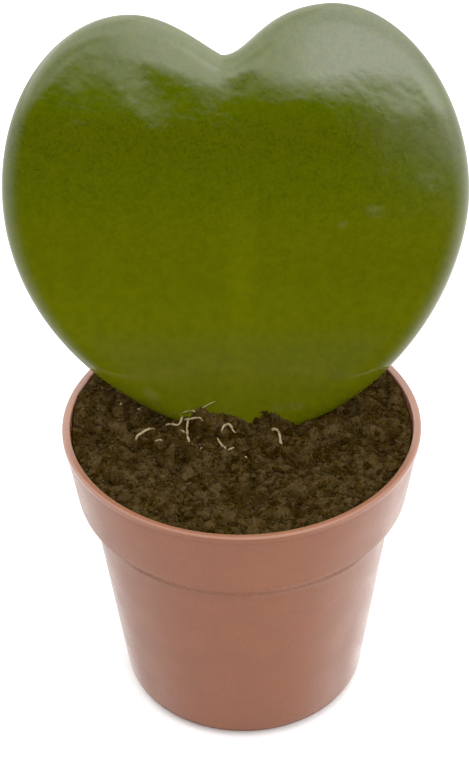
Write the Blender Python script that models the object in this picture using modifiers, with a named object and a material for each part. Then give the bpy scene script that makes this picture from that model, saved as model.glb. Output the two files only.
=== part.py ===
"""A heart-leaf hoya: one thick leaf cutting, rooted in potting soil in a small plastic pot.

Metres, +Z up. The origin is the centre of the pot's flat underside, and the leaf faces -Y.
"""

import math

import bmesh
import bpy
import numpy as np
from mathutils import Vector, noise

# Driving dimensions.
GAP = 0.0003                     # clearance between neighbouring pieces

POT_HEIGHT = 0.0537
RIM_RADIUS = 0.0300
WALL = 0.0012
FLOOR = 0.0014
COLLAR_BOTTOM = 0.0402
COLLAR_BOTTOM_RADIUS = 0.02775
BODY_TOP = 0.0375
BODY_TOP_RADIUS = 0.0254
BASE_RADIUS = 0.0201             # where the tapered side would meet the ground
BASE_ROUNDING = 0.0036
LIP_HEIGHT = 0.0009
LIP_PROUD = 0.0002
LIP_ROUNDING = 0.00045
FLOOR_ROUNDING = 0.0016          # where the inside meets the floor
STEP_ROUNDING = 0.0013           # how far from each corner of the step under the collar its curve starts
POT_STEPS = 64
DRAIN_HOLES = 6
DRAIN_RADIUS = 0.0024
DRAIN_CIRCLE = 0.0120

SOIL_LEVEL = 0.0522
SOIL_DOME = 0.0004               # how much the middle stands over the edge
SOIL_RINGS = 15
SOIL_STEPS = 60
SOIL_BENDS = (COLLAR_BOTTOM, BODY_TOP, 0.0200, 0.0045)  # heights where the soil's side is drawn
# The soil's relief: the size and height of its clods, lumps and crumbs.
LUMPS = ((0.0085, 0.0013), (0.0041, 0.0015), (0.0025, 0.0014))
EDGE_CALM = 0.5                  # how much flatter the relief lies along the wall
# Heaps, the first two pushed up against the leaf: x, y, height, spread across, spread along.
HEAPS = (
    (-0.0054, 0.0016, 0.0029, 0.0030, 0.0012),
    (0.0046, 0.0016, 0.0031, 0.0017, 0.0011),
    (0.0024, -0.0110, 0.0008, 0.0009, 0.0015),
    (-0.0110, -0.0150, 0.0007, 0.0030, 0.0020),
    (0.0150, -0.0090, 0.0007, 0.0026, 0.0022),
    (-0.0250, 0.0100, 0.0007, 0.0040, 0.0080),
)

LEAF_BURIED = 0.0045             # depth of the blade's foot in the soil
LEAF_FOOT = (0.0002, 0.0024)     # where the middle of the blade meets the soil
LEAF_TURN = math.radians(2.2)    # how far the heart is turned in its own plane
LEAN_FOOT = math.radians(9.0)
LEAN_TOP = math.radians(21.0)
LEAF_LENGTH = 0.0770
EDGE_BOW = 1.2                   # backward bow of the sides, per metre
CURL_START = 0.0460
CURL = 3.4                       # backward curl of the lobes, per metre
LEAF_HALF = 0.0021               # half the thickness in the middle
MARGIN_HALF = 0.0016             # and beside the rounded margin
MARGIN_ROUND = 0.0036            # width over which the margin rounds off
MARGIN_FULLNESS = 2.6            # 2 makes the margin's section an ellipse, and more makes it blunter
MARGIN_BELT = 0.0220             # width over which the blade swells to its middle thickness
GROOVE = (0.00008, 0.0024)       # depth and half width of the channel down the middle
RING_SCALES = (0.0, 0.3, 0.58, 0.78, 0.89, 0.945, 0.978, 0.994, 1.0)

# Each half of the heart, outwards from its middle line: the widest point with the lengths
# of its lower and upper handles, the lobe's top with its outer and inner handles, and the
# handles at the notch and at the foot.
RIGHT_HALF = {
    "side": (0.0391, 0.0436), "down": 0.0151, "up": 0.0176,
    "top": (0.0172, 0.0742), "out": 0.0109, "in": 0.0107,
    "notch": (0.0045, -0.0003), "foot": (0.0268, 0.0045),
}
LEFT_HALF = {
    "side": (0.0370, 0.0439), "down": 0.0162, "up": 0.0193,
    "top": (0.0149, 0.0741), "out": 0.0107, "in": 0.0064,
    "notch": (0.0034, 0.0020), "foot": (0.0268, 0.0093),
}
NOTCH = (0.0, 0.0675)
CURVE_STEPS = 15

STALK_RADIUS = 0.0019
STALK_LENGTH = 0.0095
STALK_OVERLAP = 0.0060           # how far the stalk reaches up inside the blade
STALK_POINTS = 7

CALLUS_RADIUS = 0.0026
CALLUS_HALF_HEIGHT = 0.0018
ROOT_RADIUS = 0.00035
ROOT_STEP = 0.0011
DEEP_ROOTS = 5
DEEP_ROOT_REACH = 0.0120
DEEP_ROOT_END = 0.0140


def clear_scene():
    for obj in list(bpy.data.objects):
        bpy.data.objects.remove(obj, do_unlink=True)


def new_collection(name):
    collection = bpy.data.collections.new(name)
    bpy.context.scene.collection.children.link(collection)
    return collection


def material(name, colour, roughness, subsurface=0.0):
    made = bpy.data.materials.new(name)
    made.use_nodes = True
    shader = made.node_tree.nodes["Principled BSDF"]
    shader.inputs["Base Color"].default_value = (*colour, 1.0)
    shader.inputs["Roughness"].default_value = roughness
    shader.inputs["Metallic"].default_value = 0.0
    shader.inputs["Subsurface Weight"].default_value = subsurface
    made.diffuse_color = (*colour, 1.0)
    return made


def place(name, mesh, collection, finish=None):
    obj = bpy.data.objects.new(name, mesh)
    if finish:
        mesh.materials.append(finish)
    collection.objects.link(obj)
    return obj


def baked(obj, name):
    """The object's evaluated mesh, welded, with the object itself removed."""
    graph = bpy.context.evaluated_depsgraph_get()
    mesh = bpy.data.meshes.new_from_object(obj.evaluated_get(graph))
    mesh.transform(obj.matrix_world)
    mesh.name = name
    shape = bmesh.new()
    shape.from_mesh(mesh)
    bmesh.ops.remove_doubles(shape, verts=shape.verts, dist=1e-6)
    bmesh.ops.recalc_face_normals(shape, faces=shape.faces)
    shape.to_mesh(mesh)
    shape.free()
    bpy.data.objects.remove(obj, do_unlink=True)
    return mesh


def combine(target, tools, operation):
    """Adds to the target, or cuts from it, each of the tools in turn."""
    for tool in tools:
        step = target.modifiers.new(tool.name, "BOOLEAN")
        step.operation = operation
        step.object = tool
        step.solver = "EXACT"


def arc(centre, radius, start, end, count):
    """Points round an arc, from one angle to another, in degrees."""
    angles = np.radians(np.linspace(start, end, count))
    return [(centre[0] + radius * math.cos(a), centre[1] + radius * math.sin(a)) for a in angles]


def turned(name, profile, steps, collection):
    """A profile of (radius, height) points turned about Z."""
    mesh = bpy.data.meshes.new(name)
    points = [(radius, 0.0, height) for radius, height in profile]
    mesh.from_pydata(points, [(i, i + 1) for i in range(len(points) - 1)], [])
    obj = place(name, mesh, collection)
    screw = obj.modifiers.new("Turn", "SCREW")
    screw.steps = steps
    screw.render_steps = steps
    screw.use_merge_vertices = True
    screw.merge_threshold = 0.00001
    return obj


# The pot.

def side_angle():
    """The slope of the tapered side, in degrees over the horizontal."""
    return math.degrees(math.atan2(BODY_TOP, BODY_TOP_RADIUS - BASE_RADIUS))


def inner_radius(height):
    """The radius of the pot's inside at a height."""
    heights = (0.0, BODY_TOP, COLLAR_BOTTOM, POT_HEIGHT)
    radii = (BASE_RADIUS, BODY_TOP_RADIUS, COLLAR_BOTTOM_RADIUS, RIM_RADIUS - LIP_PROUD)
    return float(np.interp(height, heights, radii)) - WALL


def pot_profile():
    """From the middle of the inside floor, up the inside, over the lip and down the outside."""
    floor_edge = inner_radius(FLOOR) - FLOOR_ROUNDING
    inside = [(0.0, FLOOR)]
    inside += arc((floor_edge, FLOOR + FLOOR_ROUNDING), FLOOR_ROUNDING, -90, side_angle() - 90, 4)
    inside += [(inner_radius(BODY_TOP), BODY_TOP), (inner_radius(COLLAR_BOTTOM), COLLAR_BOTTOM)]

    inner_lip = RIM_RADIUS - WALL - LIP_PROUD
    round_height = POT_HEIGHT - LIP_ROUNDING
    lip = [(inner_lip, round_height)]
    lip += arc((inner_lip + LIP_ROUNDING, round_height), LIP_ROUNDING, 150, 90, 3)
    lip += arc((RIM_RADIUS - LIP_ROUNDING, round_height), LIP_ROUNDING, 90, 0, 4)
    lip += [(RIM_RADIUS, POT_HEIGHT - LIP_HEIGHT)]

    under_lip = (RIM_RADIUS - LIP_PROUD, POT_HEIGHT - LIP_HEIGHT - LIP_PROUD)
    collar_end = (COLLAR_BOTTOM_RADIUS, COLLAR_BOTTOM)
    body_end = (BODY_TOP_RADIUS, BODY_TOP)
    outside = [under_lip]
    outside += rounded_corner(under_lip, collar_end, body_end)
    outside += rounded_corner(collar_end, body_end, (BASE_RADIUS, 0.0))

    lean = side_angle()
    edge = BASE_RADIUS - BASE_ROUNDING * math.tan(math.radians(lean) / 2)
    base = arc((edge, BASE_ROUNDING), BASE_ROUNDING, lean - 90, -90, 6)
    return inside + lip + outside + base + [(0.0, 0.0)]


def rounded_corner(before, corner, after):
    """A bend in a profile, rounded by a short curve that starts and ends a little way from it."""
    before, corner, after = (Vector(point) for point in (before, corner, after))
    start = corner + (before - corner).normalized() * STEP_ROUNDING
    end = corner + (after - corner).normalized() * STEP_ROUNDING
    weights = [((1 - t) ** 2, 2 * t * (1 - t), t**2) for t in (0.0, 0.35, 0.65, 1.0)]
    return [tuple(start * a + corner * b + end * c) for a, b, c in weights]


def drain_cutters(cutters):
    made = []
    for index in range(DRAIN_HOLES):
        angle = 2 * math.pi * (index + 0.5) / DRAIN_HOLES
        bpy.ops.mesh.primitive_cylinder_add(
            vertices=16,
            radius=DRAIN_RADIUS,
            depth=4 * FLOOR,
            location=(DRAIN_CIRCLE * math.cos(angle), DRAIN_CIRCLE * math.sin(angle), FLOOR / 2),
        )
        made.append(as_cutter(bpy.context.object, f"drain_hole_{index + 1}", cutters))
    return made


def as_cutter(obj, name, cutters):
    obj.name = name
    for old in list(obj.users_collection):
        old.objects.unlink(obj)
    cutters.objects.link(obj)
    obj.hide_render = True
    obj.display_type = "WIRE"
    return obj


def make_pot(parts, cutters):
    pot = turned("pot", pot_profile(), POT_STEPS, parts)
    pot.data.materials.append(material("terracotta plastic", (0.40, 0.165, 0.105), 0.42))
    combine(pot, drain_cutters(cutters), "DIFFERENCE")
    return pot


# The soil.

def relief(x, y):
    """The height of the soil's surface at a place."""
    reach = min(1.0, math.hypot(x, y) / inner_radius(SOIL_LEVEL))
    height = SOIL_LEVEL + SOIL_DOME * (1 - reach * reach)
    calm = 1 - EDGE_CALM * reach**6
    for layer, (size, depth) in enumerate(LUMPS):
        height += calm * depth * noise.noise(Vector((x / size, y / size, 3.7 + 5.1 * layer)))
    for heap_x, heap_y, rise, across, along in HEAPS:
        far = ((x - heap_x) / across) ** 2 + ((y - heap_y) / along) ** 2
        height += rise * math.exp(-far / 2)
    return height


def soil_profile():
    """The surface from the middle outwards, then down the wall and in along the floor."""
    edge = inner_radius(SOIL_LEVEL) - GAP
    top = [(edge * ring / SOIL_RINGS, SOIL_LEVEL) for ring in range(SOIL_RINGS + 1)]
    side = [(inner_radius(height) - GAP, height) for height in SOIL_BENDS]
    side += [(inner_radius(0.0) - FLOOR_ROUNDING, FLOOR + GAP)]
    return top + side + [(0.0, FLOOR + GAP)]


def make_soil(parts, leaf_cutters):
    blank = turned("soil", soil_profile(), SOIL_STEPS, parts)
    mesh = baked(blank, "soil")
    for vertex in mesh.vertices:
        if vertex.co.z > SOIL_LEVEL - GAP:
            vertex.co.z = relief(vertex.co.x, vertex.co.y)
    soil = place("soil", mesh, parts, material("potting soil", (0.045, 0.031, 0.011), 0.95))
    combine(soil, leaf_cutters, "DIFFERENCE")
    return soil


# The leaf.

def bezier(start, start_handle, end_handle, end):
    t = np.linspace(0, 1, CURVE_STEPS)[:, None]
    weights = ((1 - t) ** 3, 3 * (1 - t) ** 2 * t, 3 * (1 - t) * t**2, t**3)
    return sum(w * np.array(p) for w, p in zip(weights, (start, start_handle, end_handle, end)))


def half_outline(half, side):
    """One half of the heart from the foot up to the notch. side is 1 for the right, -1 for the left."""
    (wide, wide_up), (lobe, lobe_up) = half["side"], half["top"]
    notch_handle = (half["notch"][0], NOTCH[1] + half["notch"][1])
    lower = bezier((0, 0), half["foot"], (wide, wide_up - half["down"]), (wide, wide_up))
    shoulder = (lobe + half["out"], lobe_up)
    outer = bezier((wide, wide_up), (wide, wide_up + half["up"]), shoulder, (lobe, lobe_up))
    inner = bezier((lobe, lobe_up), (lobe - half["in"], lobe_up), notch_handle, NOTCH)
    return np.concatenate([lower, outer[1:], inner[1:]]) * (side, 1)


def heart_outline():
    """The heart's margin as (across, along) points, counter-clockwise from the foot."""
    right = half_outline(RIGHT_HALF, 1)
    left = half_outline(LEFT_HALF, -1)[::-1]
    points = np.concatenate([right, left[1:-1]])
    c, s = math.cos(LEAF_TURN), math.sin(LEAF_TURN)
    return points @ np.array(((c, s), (-s, c)))


def margin_distance(points, outline):
    """How far each point lies inside the margin."""
    ends = np.roll(outline, -1, axis=0)
    run = ends - outline
    along = ((points[:, None] - outline) * run).sum(2) / (run**2).sum(1)
    nearest = outline + np.clip(along, 0, 1)[..., None] * run
    return np.sqrt(((points[:, None] - nearest) ** 2).sum(2)).min(1)


def half_thickness(distance):
    """A plump middle that thins towards a rounded margin."""
    rise = np.clip(distance / MARGIN_BELT, 0, 1)
    plump = MARGIN_HALF + (LEAF_HALF - MARGIN_HALF) * rise * (2 - rise)
    inward = np.clip(distance / MARGIN_ROUND, 0, 1)
    return plump * np.sqrt(1 - (1 - inward) ** MARGIN_FULLNESS)


def spine(along):
    """The middle line's place behind and above the foot, as its lean grows evenly."""
    growth = (LEAN_TOP - LEAN_FOOT) / LEAF_LENGTH
    lean = LEAN_FOOT + growth * along
    back = (math.cos(LEAN_FOOT) - np.cos(lean)) / growth
    up = (np.sin(lean) - math.sin(LEAN_FOOT)) / growth
    return back, up, lean


def leaf_points(across, along, lift):
    """Places on the leaf: across and along its middle surface, and lifted towards the front."""
    back, up, lean = spine(along)
    foot_back, foot_up, _ = spine(LEAF_BURIED)
    curl = np.clip(along - CURL_START, 0, None)
    back = back + EDGE_BOW * across**2 + CURL * curl**2
    lean = lean + np.arctan(2 * CURL * curl)
    x = LEAF_FOOT[0] + across + lift * 2 * EDGE_BOW * across
    y = LEAF_FOOT[1] + back - foot_back - lift * np.cos(lean)
    z = SOIL_LEVEL + up - foot_up + lift * np.sin(lean)
    return np.stack([x, y, z], axis=1)


def blade_mesh(grow):
    """The heart as rings from its middle out to the margin, on both faces, grown by a clearance."""
    outline = heart_outline()
    middle = np.array((0.0, 0.5 * NOTCH[1]))
    reach = outline - middle
    spread = np.linalg.norm(reach, axis=1)[:, None]
    outer = outline + reach / spread * grow
    rings = [middle[None] + (outer - middle) * scale for scale in RING_SCALES[1:]]
    sides = len(outline)
    flat = np.concatenate([middle[None]] + rings)
    distance = margin_distance(flat, outer)
    distance[-sides:] = 0.0
    lift = half_thickness(distance) + grow * np.sqrt(np.clip(distance / MARGIN_ROUND, 0, 1))
    depth, width = GROOVE
    groove = depth * np.exp(-((flat[:, 0] / width) ** 2)) * np.clip(distance / MARGIN_BELT, 0, 1)
    front = leaf_points(flat[:, 0], flat[:, 1], lift - groove)
    back = leaf_points(flat[:, 0], flat[:, 1], -lift)
    inner = len(flat) - sides
    points = np.concatenate([front, back[:inner]])

    def front_index(ring, k):
        return 0 if ring == 0 else 1 + (ring - 1) * sides + k % sides

    def back_index(ring, k):
        if ring == len(rings):
            return front_index(ring, k)
        return len(flat) + front_index(ring, k)

    faces = []
    for ring in range(1, len(rings) + 1):
        for k in range(sides):
            ahead = (front_index(ring - 1, k), front_index(ring, k), front_index(ring, k + 1))
            behind = (back_index(ring - 1, k), back_index(ring, k + 1), back_index(ring, k))
            if ring > 1:
                ahead += (front_index(ring - 1, k + 1),)
                behind = (behind[0], back_index(ring - 1, k + 1), behind[1], behind[2])
            faces += [ahead, behind]
    mesh = bpy.data.meshes.new("blade")
    mesh.from_pydata(points.tolist(), [], faces)
    mesh.update()
    return mesh


def tube_mesh(name, points, radii):
    """A round tube through the points, with closed ends."""
    curve = bpy.data.curves.new(name, "CURVE")
    curve.dimensions = "3D"
    curve.bevel_depth = 1.0
    curve.bevel_resolution = 1
    curve.use_fill_caps = True
    spline = curve.splines.new("POLY")
    spline.points.add(len(points) - 1)
    for point, position, radius in zip(spline.points, points, radii):
        point.co = (*position, 1.0)
        point.radius = radius
    obj = bpy.data.objects.new(name, curve)
    bpy.context.scene.collection.objects.link(obj)
    return baked(obj, name)


def stalk_points():
    """The leaf stalk: from inside the blade's foot, down through the soil."""
    along = np.linspace(STALK_OVERLAP, -STALK_LENGTH, STALK_POINTS)
    return leaf_points(np.zeros(STALK_POINTS), along, np.zeros(STALK_POINTS))


def stalk_radii(grow):
    taper = np.linspace(0.72, 1.0, STALK_POINTS)
    taper[0] = 0.35  # a pointed top end, so that it stays inside the blade
    return STALK_RADIUS * taper + grow


def make_leaf(parts, cutters):
    green = material("leaf green", (0.115, 0.130, 0.006), 0.38, 0.1)
    leaf = place("leaf", blade_mesh(0.0), parts, green)
    stalk = place("stalk", tube_mesh("stalk", stalk_points(), stalk_radii(0.0)), cutters)
    combine(leaf, [as_cutter(stalk, "stalk", cutters)], "UNION")

    blade_hole = place("blade_hole", blade_mesh(GAP), cutters)
    ends = stalk_points()
    ends[-1] += (ends[-1] - ends[-2]) / np.linalg.norm(ends[-1] - ends[-2]) * GAP
    stalk_hole = place("stalk_hole", tube_mesh("stalk_hole", ends, stalk_radii(GAP)), cutters)
    holes = ((blade_hole, "blade_hole"), (stalk_hole, "stalk_hole"))
    return leaf, [as_cutter(hole, name, cutters) for hole, name in holes]


# The roots.

def callus_centre():
    """The callus sits just under the cut end of the stalk."""
    foot = stalk_points()[-1]
    return foot - np.array((0.0, 0.0, CALLUS_HALF_HEIGHT + GAP))


def surface_roots():
    """The roots that come up to the surface, as routes of (x, y, height over the soil)."""
    left = [
        (-6.0, -2.0, -15.5), (-11.5, -4.0, -11.0), (-16.5, -5.2, -6.0), (-18.6, -4.6, -2.2),
        (-18.6, -3.7, 0.1), (-18.0, -3.0, 0.7), (-16.3, -1.5, 0.8), (-14.7, -0.2, 0.6),
        (-13.8, 0.2, 0.1), (-12.9, 0.4, 0.6), (-12.1, 0.9, 0.9), (-10.9, 0.7, 0.9),
        (-10.3, 0.6, 0.8), (-9.8, 0.3, 0.6),
    ]
    fork = [
        (-4.0, -3.0, -14.5), (-8.0, -6.2, -9.0), (-9.8, -6.0, -2.4), (-9.5, -4.8, 0.1),
        (-8.9, -3.2, 0.7), (-9.0, -1.8, 0.8), (-9.0, -0.6, 0.8), (-8.6, 0.1, 0.9),
        (-7.9, 0.1, 0.9), (-7.2, -0.2, 0.8), (-6.6, -0.8, 0.5), (-6.3, -1.3, -0.3),
    ]
    curl = [
        (-2.2, -4.4, -14.0), (-1.2, -6.0, -8.0), (-0.6, -5.0, -2.0), (-1.2, -5.6, 0.2),
        (-2.2, -6.5, 0.7), (-3.0, -5.8, 0.8), (-3.6, -4.6, 0.8), (-4.1, -3.3, 0.7),
        (-3.8, -2.1, 0.6), (-3.3, -1.2, 0.8), (-2.7, -0.5, 0.9), (-2.0, -0.5, 0.8),
        (-1.5, -1.2, 0.6), (-1.0, -2.1, -0.3), (-0.8, -2.7, -1.4),
    ]
    right = [
        (4.0, -3.0, -14.0), (7.0, -6.2, -8.0), (6.8, -5.8, -1.8), (6.4, -4.6, 0.4),
        (6.4, -3.1, 0.8), (6.1, -1.5, 0.8), (5.5, -0.8, 0.6), (4.9, -0.5, -0.4),
        (4.6, -0.4, -1.2),
    ]
    side = [
        (-15.0, -2.8, -0.6), (-14.3, -3.3, 0.5), (-13.5, -3.6, 0.5), (-12.6, -3.1, -0.4),
        (-11.3, -1.2, -0.4), (-10.4, -0.6, 0.5), (-9.7, -1.2, 0.6), (-9.0, -1.8, 0.8),
    ]
    return {"left": left, "fork": fork, "curl": curl, "right": right, "side": side}


def rooted(route, from_callus):
    """A route in millimetres over the soil, as places, starting in the callus where it grows there."""
    places = [callus_centre()] if from_callus else []
    for x, y, over in route:
        x, y, over = x / 1000, y / 1000, over / 1000
        base = relief(x, y) if over > -0.001 else SOIL_LEVEL
        places.append(np.array((x, y, base + over)))
    return places


def smooth_route(places):
    """The route with rounded bends: a Catmull-Rom curve through its places, at even steps."""
    padded = [2 * places[0] - places[1], *places, 2 * places[-1] - places[-2]]
    points = [places[0]]
    for before, start, end, after in zip(padded, padded[1:], padded[2:], padded[3:]):
        count = max(1, round(float(np.linalg.norm(end - start)) / ROOT_STEP / 1.6))
        for t in np.arange(1, count + 1) / count:
            pull = 2 * start + (end - before) * t
            pull = pull + (2 * before - 5 * start + 4 * end - after) * t**2
            points.append((pull + (3 * start - before - 3 * end + after) * t**3) / 2)
    return points


def deep_routes():
    """Roots that spread down through the soil, evenly round the callus."""
    draw = np.random.default_rng(8)
    top = callus_centre()
    routes = []
    for index in range(DEEP_ROOTS):
        angle = 2 * math.pi * (index + 0.3) / DEEP_ROOTS + draw.uniform(-0.25, 0.25)
        reach = DEEP_ROOT_REACH * draw.uniform(0.75, 1.0)
        places = [top]
        for step in (0.35, 0.65, 1.0):
            bend = angle + draw.uniform(-0.3, 0.3)
            height = top[2] + (DEEP_ROOT_END - top[2]) * step
            out = reach * math.sqrt(step)
            places.append(np.array((top[0] + out * math.cos(bend), top[1] + out * math.sin(bend), height)))
        routes.append(places)
    return routes


def root_meshes(grow):
    routes = {name: rooted(route, name != "side") for name, route in surface_roots().items()}
    routes |= {f"deep_{index + 1}": places for index, places in enumerate(deep_routes())}
    made = {}
    for name, places in routes.items():
        points = smooth_route(places)
        radii = ROOT_RADIUS * np.linspace(1.15, 0.85, len(points)) + grow
        made[name] = tube_mesh(f"root_{name}", points, radii)
    return made


def callus_mesh(grow):
    shape = bmesh.new()
    bmesh.ops.create_uvsphere(shape, u_segments=14, v_segments=8, radius=1.0)
    size = (CALLUS_RADIUS + grow, CALLUS_RADIUS + grow, CALLUS_HALF_HEIGHT + grow)
    for vertex in shape.verts:
        vertex.co = Vector(c * s + m for c, s, m in zip(vertex.co, size, callus_centre()))
    mesh = bpy.data.meshes.new("callus")
    shape.to_mesh(mesh)
    shape.free()
    return mesh


def make_roots(parts, cutters):
    cream = material("root cream", (0.42, 0.34, 0.18), 0.6)
    roots = place("roots", callus_mesh(0.0), parts, cream)
    grown = [
        as_cutter(place(f"grow_{name}", mesh, cutters), f"grow_{name}", cutters)
        for name, mesh in root_meshes(0.0).items()
    ]
    combine(roots, grown, "UNION")
    tunnels = {"callus": callus_mesh(GAP)} | root_meshes(GAP)
    holes = [
        as_cutter(place(f"hole_{name}", mesh, cutters), f"hole_{name}", cutters)
        for name, mesh in tunnels.items()
    ]
    return roots, holes


def main():
    clear_scene()
    parts = new_collection("potted_hoya")
    cutters = new_collection("cutters")
    cutters.hide_render = True
    make_pot(parts, cutters)
    leaf, leaf_holes = make_leaf(parts, cutters)
    roots, root_holes = make_roots(parts, cutters)
    make_soil(parts, leaf_holes + root_holes)
    for obj in parts.objects:
        obj.data.shade_smooth()


main()
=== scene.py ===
"""The looks of a heart-leaf hoya in its small plastic pot. Metres, +Z up, the leaf faces -Y."""

import math

import bmesh
import bpy
import numpy as np
from mathutils import Matrix, Vector, noise


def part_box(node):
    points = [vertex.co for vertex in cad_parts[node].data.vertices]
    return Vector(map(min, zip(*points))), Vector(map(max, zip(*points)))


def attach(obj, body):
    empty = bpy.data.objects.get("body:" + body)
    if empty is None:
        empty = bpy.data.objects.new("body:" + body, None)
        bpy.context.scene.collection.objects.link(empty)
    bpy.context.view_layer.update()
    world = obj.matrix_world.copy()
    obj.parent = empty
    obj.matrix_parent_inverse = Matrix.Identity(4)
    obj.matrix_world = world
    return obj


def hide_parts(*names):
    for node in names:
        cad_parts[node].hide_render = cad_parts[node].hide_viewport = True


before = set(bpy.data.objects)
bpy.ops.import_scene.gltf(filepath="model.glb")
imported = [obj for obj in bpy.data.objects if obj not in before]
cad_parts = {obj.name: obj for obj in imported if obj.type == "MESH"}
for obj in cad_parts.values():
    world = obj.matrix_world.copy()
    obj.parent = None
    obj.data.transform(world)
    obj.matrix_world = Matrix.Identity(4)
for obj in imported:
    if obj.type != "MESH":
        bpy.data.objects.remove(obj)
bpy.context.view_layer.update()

POT_LOW, POT_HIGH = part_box("pot")

# The pot, from the frame's box and the moulder's sizes.
POT_HEIGHT = POT_HIGH.z
RIM_RADIUS = (POT_HIGH.x - POT_LOW.x) / 2
WALL = 0.0012
FLOOR = 0.0014
COLLAR_BOTTOM = 0.0402
COLLAR_BOTTOM_RADIUS = 0.02775
BODY_TOP = 0.0375
BODY_TOP_RADIUS = 0.0254
BASE_RADIUS = 0.0201
BASE_ROUNDING = 0.0036
FLOOR_ROUNDING = 0.0016
STEP_ROUNDING = 0.0013
LIP_HEIGHT = 0.0009
LIP_PROUD = 0.0002
LIP_ROUNDING = 0.00045
LIP_EDGE_ROUNDING = 0.0003
# The hollow where the lip meets the collar: how far in and down its points lie.
LIP_HOLLOW = ((0.0001, 0.0001), (0.00015, 0.0006))
DRAIN_HOLES = 6
DRAIN_RADIUS = 0.0024
DRAIN_CIRCLE = 0.0120
DRAIN_SIDES = 40
POT_STEPS = 160
SHARP_BEND = math.radians(50)

# The soil's surface. Its level, dome and unevenness are the frame's.
SOIL_LEVEL = 0.0522
SOIL_DOME = 0.0004
# Its unevenness, as (size, depth), and the share of it that is lost at the wall.
LUMPS = ((0.0085, 0.0013), (0.0041, 0.0015), (0.0025, 0.0014))
EDGE_CALM = 0.5
# Its heaps, close to the frame's: their middle (x, y), their rise, and their reach across and along.
HEAPS = (
    (-0.0054, 0.0016, 0.0029, 0.0030, 0.0012),
    (-0.0051, 0.0016, 0.0012, 0.0012, 0.0012),
    (0.0036, 0.0016, 0.0030, 0.0017, 0.0011),
    (0.0024, -0.0110, 0.0008, 0.0009, 0.0015),
    (-0.0110, -0.0150, 0.0007, 0.0030, 0.0020),
    (0.0150, -0.0090, 0.0007, 0.0026, 0.0022),
    (-0.0250, 0.0100, 0.0007, 0.0040, 0.0080),
)
# It climbs a little at the wall behind the leaf, over a belt whose places are shares of the radius.
BACK_RISE = 0.0013
BACK_RISE_START = 0.80
BACK_RISE_BELT = 0.17
BACK_RISE_BEHIND = 0.008
# Its grain: the size, depth and slide of each layer of crumbs, and of a fine roughness.
GRAIN = ((0.0021, 0.00055, 1.3), (0.0010, 0.00030, 8.1))
FINE_GRAIN = (0.0004, 0.00018, 2.2)
SOIL_RINGS = 150
SOIL_STEPS = 480
SOIL_GAP = 0.00005
SOIL_SIDE = (COLLAR_BOTTOM, BODY_TOP, 0.0200, 0.0045)
SOIL_SKIN = 0.0005
# Loose crumbs: how many, the smallest and the largest radius, and how high they sit as a share of it.
CRUMBS = {
    "soil_lumps": (240, 0.0006, 0.0013, -0.25),
    "soil_crumbs": (560, 0.00028, 0.0007, 0.1),
}
CRUMB_SEED = 21
GRIT = (5200, 0.00012, 0.00032, 0.4)
GRIT_SEED = 33
# Threads of peat, in the same way.
FIBRES = (170, 0.00005, 0.00011, 0.0)
FIBRE_SEED = 5
FIBRE_STEP = 0.00042
FIBRE_OFF_WALL = 0.0006

# The leaf. Its foot (x, y) is where its middle enters the soil, and its lean grows evenly from foot to top.
LEAF_BURIED = 0.0045
LEAF_FOOT = (0.0002, 0.0024)
LEAF_TURN = math.radians(2.2)
LEAN_FOOT = math.radians(9.0)
LEAN_TOP = math.radians(21.0)
LEAF_LENGTH = 0.0770
# Its sides bow back with the square of how far out they are, and its lobes with that of how far up.
EDGE_BOW = 1.2
CURL_START = 0.0460
CURL = 3.4
# Half its thickness in the middle and near the margin, and how far in the rounding and the thinning reach.
LEAF_HALF = 0.0021
MARGIN_HALF = 0.0016
MARGIN_ROUND = 0.0036
MARGIN_BELT = 0.0220
# The groove over its midrib: depth and half width.
GROOVE = (0.00008, 0.0024)
# The two halves of the heart: the points (across, along) where each is widest and highest, and how far
# from them, from the notch and from the foot the handles of its curves lie.
RIGHT_HALF = {
    "side": (0.0391, 0.0436), "down": 0.0151, "up": 0.0176,
    "top": (0.0172, 0.0742), "out": 0.0109, "in": 0.0107,
    "notch": (0.0045, -0.0003), "foot": (0.0268, 0.0045),
}
LEFT_HALF = {
    "side": (0.0370, 0.0439), "down": 0.0162, "up": 0.0193,
    "top": (0.0149, 0.0741), "out": 0.0107, "in": 0.0064,
    "notch": (0.0034, 0.0020), "foot": (0.0268, 0.0093),
}
NOTCH = (0.0, 0.0675)
CURVE_STEPS = 56
LEAF_RINGS = 58
# Hollows (less than 0) and swellings of the leaf's face: across, along, rise, long and short reach, turn.
DENTS = (
    (-0.0112, 0.0588, -0.00022, 0.0054, 0.0031, -53),
    (-0.0125, 0.0670, 0.00014, 0.0123, 0.0021, -25),
    (-0.0050, 0.0649, -0.00018, 0.0137, 0.0044, 132),
    (0.0100, 0.0614, 0.00022, 0.0046, 0.0069, 13),
    (-0.0257, 0.0639, -0.00022, 0.0076, 0.0039, -64),
    (0.0015, 0.0588, -0.00020, 0.0026, 0.0045, 0),
    (0.0201, 0.0664, 0.00015, 0.0065, 0.0029, 1),
    (0.0287, 0.0617, -0.00005, 0.0028, 0.0041, -63),
    (-0.0273, 0.0571, -0.00018, 0.0046, 0.0038, 26),
)
# They and the waves fade out over this belt along the margin.
DENT_BELT = 0.0060
# Gentle waves of the face, as (size, height).
WAVES = ((0.0095, 0.000045), (0.0034, 0.000009))
# How the leaf yellows towards its foot: from one height along it to the next, and the colour there.
LEAF_TONES = (
    (0.0600, 0.0555, (0.0385, 0.0475, 0.0002)),
    (0.0540, 0.0470, (0.0425, 0.0540, 0.0002)),
    (0.0480, 0.0360, (0.0565, 0.0638, 0.0002)),
    (0.0360, 0.0200, (0.0703, 0.0765, 0.0003)),
)
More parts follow.
